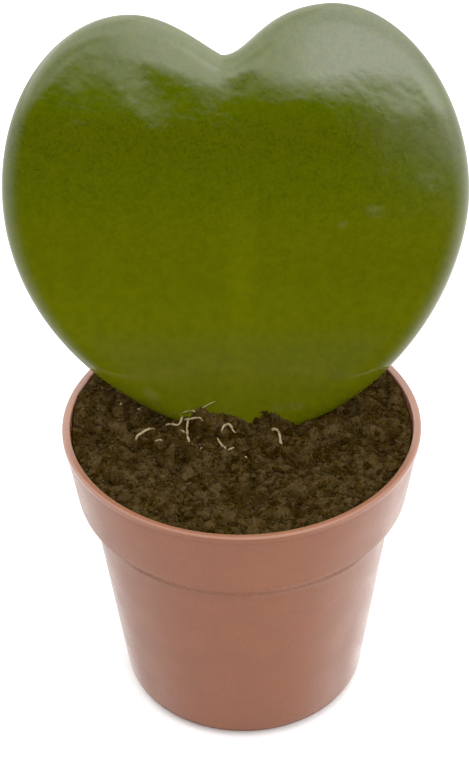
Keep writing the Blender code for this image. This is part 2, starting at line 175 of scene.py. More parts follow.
# Pale smudges on the leaf: across, along, half length, half width, turn, strength.
SMUDGES = (
    (0.0232, 0.0490, 0.0012, 0.0011, 0, 0.35),
    (0.0305, 0.0468, 0.0036, 0.0024, -14, 0.40),
    (0.0216, 0.0422, 0.0026, 0.0016, -8, 0.40),
    (0.0166, 0.0402, 0.0013, 0.0009, 30, 0.30),
    (-0.0150, 0.0100, 0.0030, 0.0014, -40, 0.30),
    (0.0078, 0.0078, 0.0040, 0.0012, 0, 0.40),
)
# A thread of root stuck to the foot of the leaf, as (across, along).
THREAD = (
    (-0.0101, 0.00685), (-0.0090, 0.0072), (-0.0074, 0.0072),
    (-0.0066, 0.00785), (-0.0058, 0.0084), (-0.0045, 0.0091),
)
THREAD_RADIUS = 0.00009
THREAD_TIP = 0.3
THREAD_TIP_STEPS = 5
STALK_RADIUS = 0.0019
STALK_LENGTH = 0.0095
STALK_OVERLAP = 0.0060
STALK_STEPS = 14
# The stalk narrows inside the blade: the share of its radius just under its upper end, and at that end.
STALK_NECK = 0.72
STALK_TIP = 0.35

ROOT_RADIUS = 0.00020
ROOT_SWELL = 0.55
ROOT_SWELL_SIZE = 0.0009
ROOT_TIP = 0.35
ROOT_TIP_STEPS = 4
ROUTE_STEP = 0.0002


# Shapes.

def place(name, mesh, finish):
    """Puts a piece in the scene, with its finish."""
    obj = bpy.data.objects.new(name, mesh)
    mesh.materials.append(finish)
    bpy.context.scene.collection.objects.link(obj)
    return obj


def wear(obj, replaced=None):
    """Fixes a piece to the pot's body, and hides the solid that it stands for."""
    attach(obj, "root")
    if replaced:
        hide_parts(replaced)
    return obj


def baked(obj, name):
    """The object's evaluated mesh, welded, with the object itself removed."""
    graph = bpy.context.evaluated_depsgraph_get()
    mesh = bpy.data.meshes.new_from_object(obj.evaluated_get(graph))
    mesh.transform(obj.matrix_world)
    mesh.name = name
    shape = bmesh.new()
    shape.from_mesh(mesh)
    bmesh.ops.remove_doubles(shape, verts=shape.verts, dist=1e-6)
    bmesh.ops.recalc_face_normals(shape, faces=shape.faces)
    shape.to_mesh(mesh)
    shape.free()
    bpy.data.objects.remove(obj, do_unlink=True)
    return mesh


def keep(mesh, name, values):
    """Stores one value for each of the mesh's points, for its material."""
    mesh.attributes.new(name, "FLOAT", "POINT").data.foreach_set("value", np.asarray(values, np.float32))


def arc(centre, radius, start, end, count):
    """Points round an arc, from one angle to another, in degrees."""
    angles = np.radians(np.linspace(start, end, count))
    return [(centre[0] + radius * math.cos(a), centre[1] + radius * math.sin(a)) for a in angles]


def turned(name, profile, steps):
    """A profile of (radius, height) points turned about Z, as one welded mesh."""
    mesh = bpy.data.meshes.new(name)
    points = [(radius, 0.0, height) for radius, height in profile]
    mesh.from_pydata(points, [(i, i + 1) for i in range(len(points) - 1)], [])
    obj = bpy.data.objects.new(name, mesh)
    bpy.context.scene.collection.objects.link(obj)
    screw = obj.modifiers.new("Turn", "SCREW")
    screw.steps = steps
    screw.render_steps = steps
    screw.use_merge_vertices = True
    screw.merge_threshold = 0.00001
    return baked(obj, name)


def tubes(name, runs, roundness):
    """One mesh of round tubes with closed ends. A run is (points, radii)."""
    curve = bpy.data.curves.new(name, "CURVE")
    curve.dimensions = "3D"
    curve.bevel_depth = 1.0
    curve.bevel_resolution = roundness
    curve.use_fill_caps = True
    for points, radii in runs:
        spline = curve.splines.new("POLY")
        spline.points.add(len(points) - 1)
        for point, position, radius in zip(spline.points, points, radii):
            point.co = (*position, 1.0)
            point.radius = radius
    obj = bpy.data.objects.new(name, curve)
    bpy.context.scene.collection.objects.link(obj)
    return baked(obj, name)


def tapered(count, steps, tip):
    """The share of a tube's radius at each of its points, as it thins towards both its tips."""
    inward = np.arange(count)
    return np.minimum(1, np.minimum(inward, inward[::-1]) / steps + tip)


def smooth_route(places, step):
    """A Catmull-Rom curve through the places, at about even steps."""
    padded = [2 * places[0] - places[1], *places, 2 * places[-1] - places[-2]]
    points = [places[0]]
    for before, start, end, after in zip(padded, padded[1:], padded[2:], padded[3:]):
        count = max(1, round(float(np.linalg.norm(end - start)) / step))
        for t in np.arange(1, count + 1) / count:
            pull = 2 * start + (end - before) * t
            pull = pull + (2 * before - 5 * start + 4 * end - after) * t**2
            points.append((pull + (3 * start - before - 3 * end + after) * t**3) / 2)
    return points


# The pot.

def side_angle():
    """How steep the pot's body is, in degrees."""
    return math.degrees(math.atan2(BODY_TOP, BODY_TOP_RADIUS - BASE_RADIUS))


def inner_radius(height):
    """The radius of the pot's inside at a height."""
    heights = (0.0, BODY_TOP, COLLAR_BOTTOM, POT_HEIGHT)
    radii = (BASE_RADIUS, BODY_TOP_RADIUS, COLLAR_BOTTOM_RADIUS, RIM_RADIUS - LIP_PROUD)
    return float(np.interp(height, heights, radii)) - WALL


def pot_profile():
    """From the middle of the inside floor, up the inside, over the lip and down the outside."""
    floor_edge = inner_radius(FLOOR) - FLOOR_ROUNDING
    inside = [(0.0, FLOOR), (0.5 * floor_edge, FLOOR)]
    inside += arc((floor_edge, FLOOR + FLOOR_ROUNDING), FLOOR_ROUNDING, -90, side_angle() - 90, 8)
    inside += [(inner_radius(BODY_TOP), BODY_TOP), (inner_radius(COLLAR_BOTTOM), COLLAR_BOTTOM)]

    inner_lip = RIM_RADIUS - WALL - LIP_PROUD
    crown = POT_HEIGHT - LIP_ROUNDING
    lip = [(inner_lip, POT_HEIGHT - 2 * LIP_ROUNDING)]
    lip += arc((inner_lip + LIP_ROUNDING, crown), LIP_ROUNDING, 180, 90, 7)
    lip += arc((RIM_RADIUS - LIP_ROUNDING, crown), LIP_ROUNDING, 90, 0, 8)
    lip_edge = (RIM_RADIUS - LIP_EDGE_ROUNDING, POT_HEIGHT - LIP_HEIGHT)
    lip += arc(lip_edge, LIP_EDGE_ROUNDING, 0, -60, 4)

    under_lip = POT_HEIGHT - LIP_HEIGHT - LIP_PROUD
    collar = [(RIM_RADIUS - LIP_PROUD - inward, under_lip - down) for inward, down in LIP_HOLLOW]
    collar_end = Vector((COLLAR_BOTTOM_RADIUS, COLLAR_BOTTOM))
    body_end = Vector((BODY_TOP_RADIUS, BODY_TOP))
    for corner, before, after in (
        (collar_end, Vector(collar[-1]), body_end),
        (body_end, collar_end, Vector((BASE_RADIUS, 0.0))),
    ):
        collar += rounded_corner(corner, before, after, STEP_ROUNDING)

    lean = side_angle()
    edge = BASE_RADIUS - BASE_ROUNDING * math.tan(math.radians(lean) / 2)
    corner = arc((edge, BASE_ROUNDING), BASE_ROUNDING, lean - 90, -90, 16)
    return inside + lip + collar + corner + [(0.5 * edge, 0.0), (0.0, 0.0)]


def rounded_corner(corner, before, after, cut):
    """A bend in a profile, rounded by a short curve that starts and ends a little way from it."""
    start = corner + (before - corner).normalized() * cut
    end = corner + (after - corner).normalized() * cut
    points = []
    for t in np.linspace(0, 1, 6):
        points.append(tuple(start * (1 - t) ** 2 + corner * 2 * t * (1 - t) + end * t**2))
    return points


def make_pot(finish):
    pot = place("pot_shell", turned("pot_shell", pot_profile(), POT_STEPS), finish)
    for index in range(DRAIN_HOLES):
        angle = 2 * math.pi * (index + 0.5) / DRAIN_HOLES
        centre = (DRAIN_CIRCLE * math.cos(angle), DRAIN_CIRCLE * math.sin(angle), FLOOR / 2)
        bpy.ops.mesh.primitive_cylinder_add(
            vertices=DRAIN_SIDES, radius=DRAIN_RADIUS, depth=4 * FLOOR, location=centre
        )
        hole = bpy.context.object
        cut = pot.modifiers.new("Drain", "BOOLEAN")
        cut.operation = "DIFFERENCE"
        cut.object = hole
        bpy.context.view_layer.objects.active = pot
        bpy.ops.object.modifier_apply(modifier=cut.name)
        bpy.data.objects.remove(hole, do_unlink=True)
    pot.data.shade_smooth()
    pot.data.set_sharp_from_angle(angle=SHARP_BEND)
    return wear(pot, "pot")


# The soil.

def eased(share):
    """A share from 0 to 1, eased in and out."""
    share = min(1.0, max(0.0, share))
    return share * share * (3 - 2 * share)


def relief(x, y):
    """The height of the soil's surface at a place, without its grain."""
    reach = min(1.0, math.hypot(x, y) / inner_radius(SOIL_LEVEL))
    height = SOIL_LEVEL + SOIL_DOME * (1 - reach * reach)
    calm = 1 - EDGE_CALM * reach**6
    for layer, (size, depth) in enumerate(LUMPS):
        height += calm * depth * noise.noise(Vector((x / size, y / size, 3.7 + 5.1 * layer)))
    for heap_x, heap_y, rise, across, along in HEAPS:
        far = ((x - heap_x) / across) ** 2 + ((y - heap_y) / along) ** 2
        height += rise * math.exp(-far / 2)
    at_wall = eased((reach - BACK_RISE_START) / BACK_RISE_BELT)
    return height + BACK_RISE * at_wall * eased(y / BACK_RISE_BEHIND)


def grain(x, y):
    """Crumbs packed side by side: rounded cells of two sizes, and a fine roughness."""
    height = 0.0
    for size, depth, slide in GRAIN:
        warp = 0.45 * noise.noise(Vector((x / size * 0.6, y / size * 0.6, slide)))
        distances, _ = noise.voronoi(Vector((x / size + warp, y / size - warp, slide)))
        height += depth * (0.5 - min(distances[0], 1.0))
    size, depth, slide = FINE_GRAIN
    return height + depth * noise.noise(Vector((x / size, y / size, slide)))


def soil_profile():
    """From the middle of the soil's top, out to the wall and down inside the pot."""
    edge = inner_radius(SOIL_LEVEL) - SOIL_GAP
    top = [(edge * ring / SOIL_RINGS, SOIL_LEVEL) for ring in range(SOIL_RINGS + 1)]
    side = [(inner_radius(height) - SOIL_GAP, height) for height in SOIL_SIDE]
    side += [(inner_radius(0.0) - FLOOR_ROUNDING, FLOOR + SOIL_GAP)]
    return top + side + [(0.0, FLOOR + SOIL_GAP)]


def make_soil_bed(finish):
    mesh = turned("soil_bed", soil_profile(), SOIL_STEPS)
    crests = []
    for vertex in mesh.vertices:
        x, y, z = vertex.co
        crest = -SOIL_SKIN
        if z > SOIL_LEVEL - SOIL_SKIN:
            crest = grain(x, y)
            vertex.co.z = relief(x, y) + crest
        crests.append(crest)
    # The crumbs' heights, which the peat's material turns into painted shade between them.
    keep(mesh, "crest", crests)
    mesh.shade_smooth()
    return wear(place("soil_bed", mesh, finish), "soil")


def crumb_shape(draw, rough, fineness=2):
    """One irregular crumb about its middle: a small sphere pushed in and out."""
    shape = bmesh.new()
    bmesh.ops.create_icosphere(shape, subdivisions=fineness, radius=1.0)
    shift = Vector(draw.uniform(-50, 50, 3))
    squash = Vector((1.0, draw.uniform(0.65, 1.0), draw.uniform(0.45, 0.8)))
    for vertex in shape.verts:
        bulge = 1 + rough * noise.noise(vertex.co * 1.1 + shift)
        bulge += 0.5 * rough * noise.noise(vertex.co * 2.7 - shift)
        vertex.co = Vector(c * s * bulge for c, s in zip(vertex.co, squash))
    shape.verts.ensure_lookup_table()
    points = np.array([vertex.co[:] for vertex in shape.verts])
    faces = np.array([[vertex.index for vertex in face.verts] for face in shape.faces])
    shape.free()
    return points, faces


def random_turn(draw):
    """A full spin about Z and a tip to one side, by chance."""
    spin = Matrix.Rotation(draw.uniform(0, 2 * math.pi), 3, "Z")
    tip = Matrix.Rotation(draw.normal(0, 0.5), 3, "X")
    return np.array(spin @ tip)


def scattered(name, shapes, spots, draw):
    """One mesh of many crumbs. A spot is (x, y, z, size)."""
    points, faces, start = [], [], 0
    for x, y, z, size in spots:
        shape_points, shape_faces = shapes[draw.integers(len(shapes))]
        placed = shape_points * size @ random_turn(draw).T + np.array((x, y, z))
        points.append(placed)
        faces.append(shape_faces + start)
        start += len(placed)
    mesh = bpy.data.meshes.new(name)
    mesh.from_pydata(np.concatenate(points).tolist(), [], np.concatenate(faces).tolist())
    mesh.shade_smooth()
    return mesh


def soil_spots(draw, count, smallest, largest, raised):
    """Places all over the soil and clear of the wall, for many small and few large crumbs."""
    spots = []
    edge = inner_radius(SOIL_LEVEL)
    while len(spots) < count:
        size = smallest + (largest - smallest) * draw.random() ** 2.5
        radius = (edge - 0.8 * size) * math.sqrt(draw.random())
        angle = draw.uniform(0, 2 * math.pi)
        x, y = radius * math.cos(angle), radius * math.sin(angle)
        spots.append((x, y, relief(x, y) + raised * size, size))
    return spots


def make_crumbs(finish):
    """The lumps and crumbs that lie on the soil."""
    draw = np.random.default_rng(CRUMB_SEED)
    shapes = [crumb_shape(draw, 0.75) for _ in range(18)]
    for name, sizes in CRUMBS.items():
        mesh = scattered(name, shapes, soil_spots(draw, *sizes), draw)
        wear(place(name, mesh, finish))


def make_grit(finish):
    """The finest crumbs, with few faces each."""
    draw = np.random.default_rng(GRIT_SEED)
    shapes = [crumb_shape(draw, 0.8, fineness=1) for _ in range(24)]
    mesh = scattered("soil_grit", shapes, soil_spots(draw, *GRIT), draw)
    wear(place("soil_grit", mesh, finish))


def make_fibres(finish):
    """Threads of peat that lie about on the soil."""
    draw = np.random.default_rng(FIBRE_SEED)
    runs = []
    for x, y, _, radius in soil_spots(draw, *FIBRES):
        heading = draw.uniform(0, 2 * math.pi)
        places = []
        for _ in range(draw.integers(5, 12)):
            if math.hypot(x, y) > inner_radius(SOIL_LEVEL) - FIBRE_OFF_WALL:
                break
            places.append((x, y, relief(x, y) + draw.uniform(0.0001, 0.0004)))
            heading += draw.normal(0, 0.45)
            x, y = x + FIBRE_STEP * math.cos(heading), y + FIBRE_STEP * math.sin(heading)
        if len(places) > 2:
            runs.append((places, [radius] * len(places)))
    wear(place("soil_fibres", tubes("soil_fibres", runs, 1), finish))


# The leaf.

def bezier(start, start_handle, end_handle, end):
    """Points along one curve of the leaf's margin."""
    t = np.linspace(0, 1, CURVE_STEPS)[:, None]
    weights = ((1 - t) ** 3, 3 * (1 - t) ** 2 * t, 3 * (1 - t) * t**2, t**3)
    return sum(w * np.array(p) for w, p in zip(weights, (start, start_handle, end_handle, end)))


def half_outline(half, side):
    """One half of the heart from the foot up to the notch. side is 1 for the right, -1 for the left."""
    (wide, wide_up), (lobe, lobe_up) = half["side"], half["top"]
    notch_handle = (half["notch"][0], NOTCH[1] + half["notch"][1])
    lower = bezier((0, 0), half["foot"], (wide, wide_up - half["down"]), (wide, wide_up))
    shoulder = (lobe + half["out"], lobe_up)
    outer = bezier((wide, wide_up), (wide, wide_up + half["up"]), shoulder, (lobe, lobe_up))
    inner = bezier((lobe, lobe_up), (lobe - half["in"], lobe_up), notch_handle, NOTCH)
    return np.concatenate([lower, outer[1:], inner[1:]]) * (side, 1)


def turning(angle):
    """The matrix that turns rows of (across, along) places counter-clockwise."""
    cosine, sine = math.cos(angle), math.sin(angle)
    return np.array(((cosine, sine), (-sine, cosine)))


def heart_outline():
    """The heart's margin as (across, along) points, counter-clockwise from the foot."""
    right = half_outline(RIGHT_HALF, 1)
    left = half_outline(LEFT_HALF, -1)[::-1]
    return np.concatenate([right, left[1:-1]]) @ turning(LEAF_TURN)


def margin_distance(points, outline):
    """How far each point lies inside the margin."""
    run = np.roll(outline, -1, axis=0) - outline
    lengths = (run**2).sum(1)
    found = []
    for block in np.array_split(points, 24):
        along = ((block[:, None] - outline) * run).sum(2) / lengths
        nearest = outline + np.clip(along, 0, 1)[..., None] * run
        found.append(np.sqrt(((block[:, None] - nearest) ** 2).sum(2)).min(1))
    return np.concatenate(found)


def half_thickness(distance):
    """A plump middle that thins towards a rounded margin."""
    rise = np.clip(distance / MARGIN_BELT, 0, 1)
    plump = MARGIN_HALF + (LEAF_HALF - MARGIN_HALF) * rise * (2 - rise)
    inward = np.clip(distance / MARGIN_ROUND, 0, 1)
    return plump * np.sqrt(1 - (1 - inward) ** 2.6)


def unevenness(points):
    """The small hollows, swellings and waves of the leaf's face."""
    rise = np.zeros(len(points))
    for across, along, height, long_reach, short_reach, turn in DENTS:
        away = (points - (across, along)) @ turning(-math.radians(turn))
        far = (away[:, 0] / long_reach) ** 2 + (away[:, 1] / short_reach) ** 2
        rise += height * np.exp(-far / 2)
    for size, height in WAVES:
        rise += height * np.array([noise.noise(Vector((x / size, y / size, 11.3))) for x, y in points])
    return rise


def spine(along):
    """The middle line's place behind and above the foot, as its lean grows evenly."""
    growth = (LEAN_TOP - LEAN_FOOT) / LEAF_LENGTH
    lean = LEAN_FOOT + growth * along
    back = (math.cos(LEAN_FOOT) - np.cos(lean)) / growth
    up = (np.sin(lean) - math.sin(LEAN_FOOT)) / growth
    return back, up, lean


def leaf_points(across, along, lift):
    """Places on the leaf: across and along its middle surface, and lifted towards the front."""
    back, up, lean = spine(along)
    foot_back, foot_up, _ = spine(LEAF_BURIED)
    curl = np.clip(along - CURL_START, 0, None)
    back = back + EDGE_BOW * across**2 + CURL * curl**2
    lean = lean + np.arctan(2 * CURL * curl)
    x = LEAF_FOOT[0] + across + lift * 2 * EDGE_BOW * across
    y = LEAF_FOOT[1] + back - foot_back - lift * np.cos(lean)
    z = SOIL_LEVEL + up - foot_up + lift * np.sin(lean)
    return np.stack([x, y, z], axis=1)


def blade_mesh():
    """The heart as rings from its middle out to the margin, closer together towards it, on both faces."""
    outline = heart_outline()
    middle = np.array((0.0, 0.5 * NOTCH[1]))
    scales = np.sin(np.linspace(0, math.pi / 2, LEAF_RINGS + 1)) ** 0.9
    rings = [middle[None] + (outline - middle) * scale for scale in scales[1:]]
    sides = len(outline)
    flat = np.concatenate([middle[None]] + rings)
    distance = margin_distance(flat, outline)
    distance[-sides:] = 0.0
    lift = half_thickness(distance)
    inside = np.clip(distance / MARGIN_BELT, 0, 1)
    groove = GROOVE[0] * np.exp(-((flat[:, 0] / GROOVE[1]) ** 2)) * inside
    clear = np.clip(distance / DENT_BELT, 0, 1)
    uneven = clear**2 * (3 - 2 * clear) * unevenness(flat)
    front = leaf_points(flat[:, 0], flat[:, 1], lift - groove + uneven)
    back = leaf_points(flat[:, 0], flat[:, 1], -lift)
    inner = len(flat) - sides
    points = np.concatenate([front, back[:inner]])

    def front_index(ring, k):
        return 0 if ring == 0 else 1 + (ring - 1) * sides + k % sides

    def back_index(ring, k):
        if ring == len(rings):
            return front_index(ring, k)
        return len(flat) + front_index(ring, k)

    faces = []
    for ring in range(1, len(rings) + 1):
        for k in range(sides):
            ahead = [front_index(ring - 1, k), front_index(ring, k), front_index(ring, k + 1)]
            behind = [back_index(ring - 1, k), back_index(ring, k + 1), back_index(ring, k)]
            if ring > 1:
                ahead.append(front_index(ring - 1, k + 1))
                behind.insert(1, back_index(ring - 1, k + 1))
            faces += [ahead, behind]
    mesh = bpy.data.meshes.new("leaf_blade")
    mesh.from_pydata(points.tolist(), [], faces)
    mesh.shade_smooth()
    keep(mesh, "inward", np.concatenate([distance, distance[:inner]]))
    keep(mesh, "rear", np.concatenate([np.zeros(len(flat)), np.ones(inner)]))
    keep(mesh, "across", np.concatenate([flat[:, 0], flat[:inner, 0]]))
    keep(mesh, "along", np.concatenate([flat[:, 1], flat[:inner, 1]]))
    return mesh


def make_leaf(finish):
    """The blade, and the stub of its stalk in the soil."""
    wear(place("leaf_blade", blade_mesh(), finish), "leaf")
    along = np.linspace(STALK_OVERLAP, -STALK_LENGTH, STALK_STEPS)
    points = leaf_points(np.zeros(STALK_STEPS), along, np.zeros(STALK_STEPS))
    taper = np.linspace(STALK_NECK, 1.0, STALK_STEPS)
    taper[0] = STALK_TIP
    mesh = tubes("leaf_stalk", [(points, STALK_RADIUS * taper)], 6)
    mesh.shade_smooth()
    wear(place("leaf_stalk", mesh, finish))


def make_thread(finish):
    """The thread of root on the leaf's foot, sunk a little into its face."""
    flat = np.array(smooth_route([np.array(spot) for spot in THREAD], ROUTE_STEP))
    lift = half_thickness(margin_distance(flat, heart_outline())) + 0.7 * THREAD_RADIUS
    radii = THREAD_RADIUS * tapered(len(flat), THREAD_TIP_STEPS, THREAD_TIP)
    mesh = tubes("leaf_thread", [(leaf_points(flat[:, 0], flat[:, 1], lift), radii)], 3)
    mesh.shade_smooth()
    wear(place("leaf_thread", mesh, finish))


# The roots.

# The rootlets that surface in front of the leaf, as (x, y, height over the soil) in millimetres.
ROOTLETS = {
    "rootlet_left": (
        (-17.7, -2.5, -0.2), (-17.4, -2.2, 0.25), (-16.7, -1.9, 0.4), (-15.8, -1.5, 0.4),
        (-14.8, -0.7, 0.2), (-14.5, -0.5, -0.2),
    ),
    "rootlet_chip": (
        (-14.5, -2.8, -0.1), (-14.2, -2.8, 0.12), (-13.8, -2.7, 0.18), (-13.4, -2.6, 0.12),
        (-13.2, -2.6, -0.1),
    ),
    "rootlet_bend": (
        (-13.1, 1.3, -0.1), (-12.9, 1.1, 0.3), (-12.3, 0.6, 0.5), (-11.5, -0.4, 0.6), (-10.9, -0.4, 0.5),
        (-10.4, 0.1, 0.6), (-10.1, 0.9, 0.7), (-9.9, 1.5, 0.8), (-9.7, 1.9, 0.8), (-9.1, 1.9, 0.8),
        (-8.1, 1.1, 0.8), (-7.7, 0.9, 0.3),
    ),
    "rootlet_fork": (
        (-9.6, 0.9, 0.6), (-9.3, 0.8, 0.8), (-8.8, 0.6, 0.8), (-8.1, 0.3, 0.8), (-7.3, 0.1, 0.7),
        (-6.8, 0.1, 0.4), (-6.5, 0.0, -0.1),
    ),
    "rootlet_stem": (
        (-8.8, 0.8, 0.8), (-8.9, 0.6, 0.7), (-9.1, 0.0, 0.6), (-9.1, -0.6, 0.5), (-9.1, -2.2, 0.6),
        (-9.0, -4.2, 0.4), (-8.8, -4.9, 0.2), (-8.7, -5.2, -0.2),
    ),
    "rootlet_stub": ((-10.4, -0.6, -0.1), (-10.1, -0.6, 0.15), (-9.7, -0.7, 0.2), (-9.4, -0.8, 0.1)),
    "rootlet_curl": (
        (-3.4, -2.4, -0.1), (-3.3, -2.1, 0.3), (-3.1, -1.7, 0.5), (-2.8, -1.3, 0.6), (-2.2, -0.9, 0.6),
        (-1.8, -1.1, 0.5), (-1.6, -1.4, 0.1), (-1.5, -1.6, 0.3), (-1.3, -1.9, 0.3), (-1.0, -2.1, 0.2),
        (-0.9, -2.2, -0.2),
    ),
    "rootlet_foot": (
        (-4.2, -3.6, -0.2), (-4.1, -3.8, 0.1), (-3.7, -4.3, 0.15), (-3.2, -5.1, 0.15), (-2.8, -6.3, 0.1),
        (-2.7, -6.7, -0.2),
    ),
    "rootlet_tip": (
        (-2.4, -7.2, -0.1), (-2.2, -7.3, 0.25), (-1.8, -7.3, 0.35), (-1.4, -6.9, 0.25),
        (-1.2, -6.7, -0.1),
    ),
    "rootlet_right": (
        (5.0, -1.7, -0.2), (5.3, -1.9, 0.3), (5.8, -2.1, 0.5), (6.1, -2.3, 0.5), (6.3, -2.8, 0.4),
        (6.4, -3.6, 0.2), (6.5, -4.1, 0.05), (6.5, -4.4, -0.2),
    ),
    "chip_left": ((-17.5, 5.2, 0.0), (-17.3, 5.1, 0.22), (-17.0, 5.0, 0.0)),
    "chip_back": ((-20.5, 6.2, 0.0), (-20.3, 6.3, 0.22), (-20.1, 6.4, 0.0)),
    "chip_front": ((0.4, -8.4, -0.1), (0.6, -8.6, 0.15), (0.8, -8.6, -0.1)),
    "chip_middle": ((-6.9, -6.9, -0.1), (-6.7, -7.0, 0.15), (-6.5, -6.9, -0.1)),
}


def root_points(route):
    """A rootlet's route over the soil's surface, smoothed, in metres."""
    places = []
    for x, y, over in route:
        places.append(np.array((x / 1000, y / 1000, relief(x / 1000, y / 1000) + over / 1000)))
    return smooth_route(places, ROUTE_STEP)


def make_roots(finish):
    """Rootlets that swell and narrow along their length, with thin tips."""
    for name, route in ROOTLETS.items():
        points = root_points(route)
        swell = [1 + ROOT_SWELL * noise.noise(Vector(point) / ROOT_SWELL_SIZE) for point in points]
        radii = ROOT_RADIUS * np.array(swell) * tapered(len(points), ROOT_TIP_STEPS, ROOT_TIP)
        mesh = tubes(name, [(points, radii)], 4)
        mesh.shade_smooth()
        wear(place(name, mesh, finish), "roots")


# Materials. Colours are linear red, green and blue, with an opacity of 1.

TERRACOTTA = ((0.179, 0.0700, 0.0380, 1), (0.169, 0.0675, 0.0380, 1))
TERRACOTTA_SPECK = (0.245, 0.110, 0.066, 1)
# Painted light from above on the pot's lip.
TERRACOTTA_LIP_PAINTED_LIGHT = (0.190, 0.078, 0.042, 1)
PEAT = ((0.0260, 0.0150, 0.0002, 1), (0.0450, 0.0290, 0.0085, 1))
PEAT_SPECK = (0.0710, 0.0480, 0.0270, 1)
# The dark peat: painted shade in the bed's hollows, and a darker tone by chance on loose crumbs.
PEAT_DARK_AND_PAINTED_SHADE = (0.0135, 0.0072, 0.0001, 1)
LEAF_GREENS = ((0.0390, 0.0520, 0.0001, 1), (0.0440, 0.0590, 0.0002, 1))
LOBE_GREEN = (0.0320, 0.0430, 0.0002, 1)
# Painted shade on the leaf's lower right side.
SIDE_PAINTED_SHADE = (0.0, 0.010, 0.0, 1)
# Painted light on the leaf's lower midrib, where its groove faces up.
RIB_PAINTED_LIGHT = (0.0800, 0.0850, 0.0005, 1)
FLECK_GREEN = (0.078, 0.087, 0.0006, 1)
MOTTLE_TINTS = ((0.88, 0.925, 1.0, 1), (1.10, 1.065, 1.0, 1))
SMUDGE_GREY = (0.25, 0.26, 0.23, 1)
ROOT_CREAM = (0.2125, 0.166, 0.085, 1)
ROOT_STAIN = (0.098, 0.064, 0.024, 1)
PAPER = ((0.86, 0.86, 0.86, 1), (0.88, 0.88, 0.88, 1))


def new_node(tree, kind, settings=(), **inputs):
    """Adds a node. A socket takes a number or a colour, or is linked where it is given another socket."""
    made = tree.nodes.new(kind)
    for key, value in dict(settings).items():
        setattr(made, key, value)
    for key, value in inputs.items():
        feed(tree, made.inputs[key.replace("_", " ")], value)
    return made


def feed(tree, socket, value):
    """Links a socket to the one given, or sets it to the value given."""
    if isinstance(value, bpy.types.NodeSocket):
        tree.links.new(value, socket)
    else:
        socket.default_value = value


def effect(name, inputs, outputs):
    """An empty shared effect, with its named inputs (kind, default) and outputs (kind)."""
    tree = bpy.data.node_groups.new(name, "ShaderNodeTree")
    for label, (kind, default) in inputs.items():
        socket = tree.interface.new_socket(label, in_out="INPUT", socket_type="NodeSocket" + kind)
        if default is not None:
            socket.default_value = default
    for label, kind in outputs.items():
        tree.interface.new_socket(label, in_out="OUTPUT", socket_type="NodeSocket" + kind)
    return tree, tree.nodes.new("NodeGroupInput").outputs, tree.nodes.new("NodeGroupOutput").inputs


def use(tree, group, **inputs):
    """Places a shared effect with its own values, and gives its outputs."""
    made = tree.nodes.new("ShaderNodeGroup")
    made.node_tree = group
    for key, value in inputs.items():
        feed(tree, made.inputs[key.replace("_", " ")], value)
    return made.outputs


def ramp(tree, value, low, high, to_low=0.0, to_high=1.0, smooth=True):
    """The value carried from one range to another, held at its ends."""
    made = new_node(tree, "ShaderNodeMapRange", {"interpolation_type": "SMOOTHSTEP" if smooth else "LINEAR"})
    for index, given in enumerate((value, low, high, to_low, to_high)):
        feed(tree, made.inputs[index], given)
    return made.outputs[0]


def blend(tree, factor, first, second, kind="MIX"):
    """Two colours mixed, or multiplied and so on, by a factor."""
    made = new_node(tree, "ShaderNodeMix", {"data_type": "RGBA", "blend_type": kind})
    for index, given in ((0, factor), (6, first), (7, second)):
        feed(tree, made.inputs[index], given)
    return made.outputs[2]


def sums(tree, operation, first, second=0.0):
    """One step of arithmetic. Some steps take the first number only."""
    made = new_node(tree, "ShaderNodeMath", {"operation": operation})
    feed(tree, made.inputs[0], first)
    feed(tree, made.inputs[1], second)
    return made.outputs[0]


def xyz(tree, vector):
    parts = new_node(tree, "ShaderNodeSeparateXYZ", Vector=vector).outputs
    return parts["X"], parts["Y"], parts["Z"]


def own_place(tree):
    """Where a point lies in its own object's frame, in metres."""
    return new_node(tree, "ShaderNodeTexCoord").outputs["Object"]


def rotated(tree, vector, angle, axis):
    """The X, Y and Z of a vector turned about an axis."""
    kind = {"rotation_type": axis + "_AXIS"}
    return xyz(tree, new_node(tree, "ShaderNodeVectorRotate", kind, Vector=vector, Angle=angle).outputs[0])


def attribute(tree, name):
    """A value that the mesh keeps for each of its points."""
    return new_node(tree, "ShaderNodeAttribute", {"attribute_name": name}).outputs["Fac"]


def cloud_effect():
    """Soft cloudy patches as a mask.

    Size is a patch's width in millimetres. Stretch draws it out along X, turned by Turn about Y.
    """
    inputs = {
        "Size": ("Float", 1.0), "Stretch": ("Float", 1.0), "Turn": ("Float", 0.0), "Detail": ("Float", 3.0),
        "Low": ("Float", 0.35), "High": ("Float", 0.65),
    }
    tree, given, result = effect("clouds", inputs, {"Mask": "Float"})
    x, y, z = rotated(tree, own_place(tree), given["Turn"], "Y")
    drawn = new_node(tree, "ShaderNodeCombineXYZ", X=sums(tree, "DIVIDE", x, given["Stretch"]), Y=y, Z=z)
    scale = sums(tree, "DIVIDE", 1000.0, given["Size"])
    texture = new_node(
        tree, "ShaderNodeTexNoise",
        Vector=drawn.outputs[0], Scale=scale, Detail=given["Detail"], Roughness=0.55,
    )
    feed(tree, result["Mask"], ramp(tree, texture.outputs["Fac"], given["Low"], given["High"]))
    return tree


def pore_effect():
    """Fine even grain as a height, like the skin of moulded plastic or a leaf. Size is in millimetres."""
    tree, given, result = effect("pores", {"Size": ("Float", 0.3)}, {"Height": "Float"})
    where = own_place(tree)
    scale = sums(tree, "DIVIDE", 1000.0, given["Size"])
    cells = new_node(tree, "ShaderNodeTexVoronoi", {"feature": "SMOOTH_F1"}, Vector=where, Scale=scale)
    speckle = new_node(tree, "ShaderNodeTexNoise", Vector=where, Scale=scale, Detail=2.0)
    feed(tree, result["Height"], sums(tree, "ADD", cells.outputs["Distance"], speckle.outputs["Fac"]))
    return tree


def new_material(name):
    """A material, its tree and its Principled shader."""
    made = bpy.data.materials.new(name)
    made.use_nodes = True
    return made, made.node_tree, made.node_tree.nodes["Principled BSDF"]


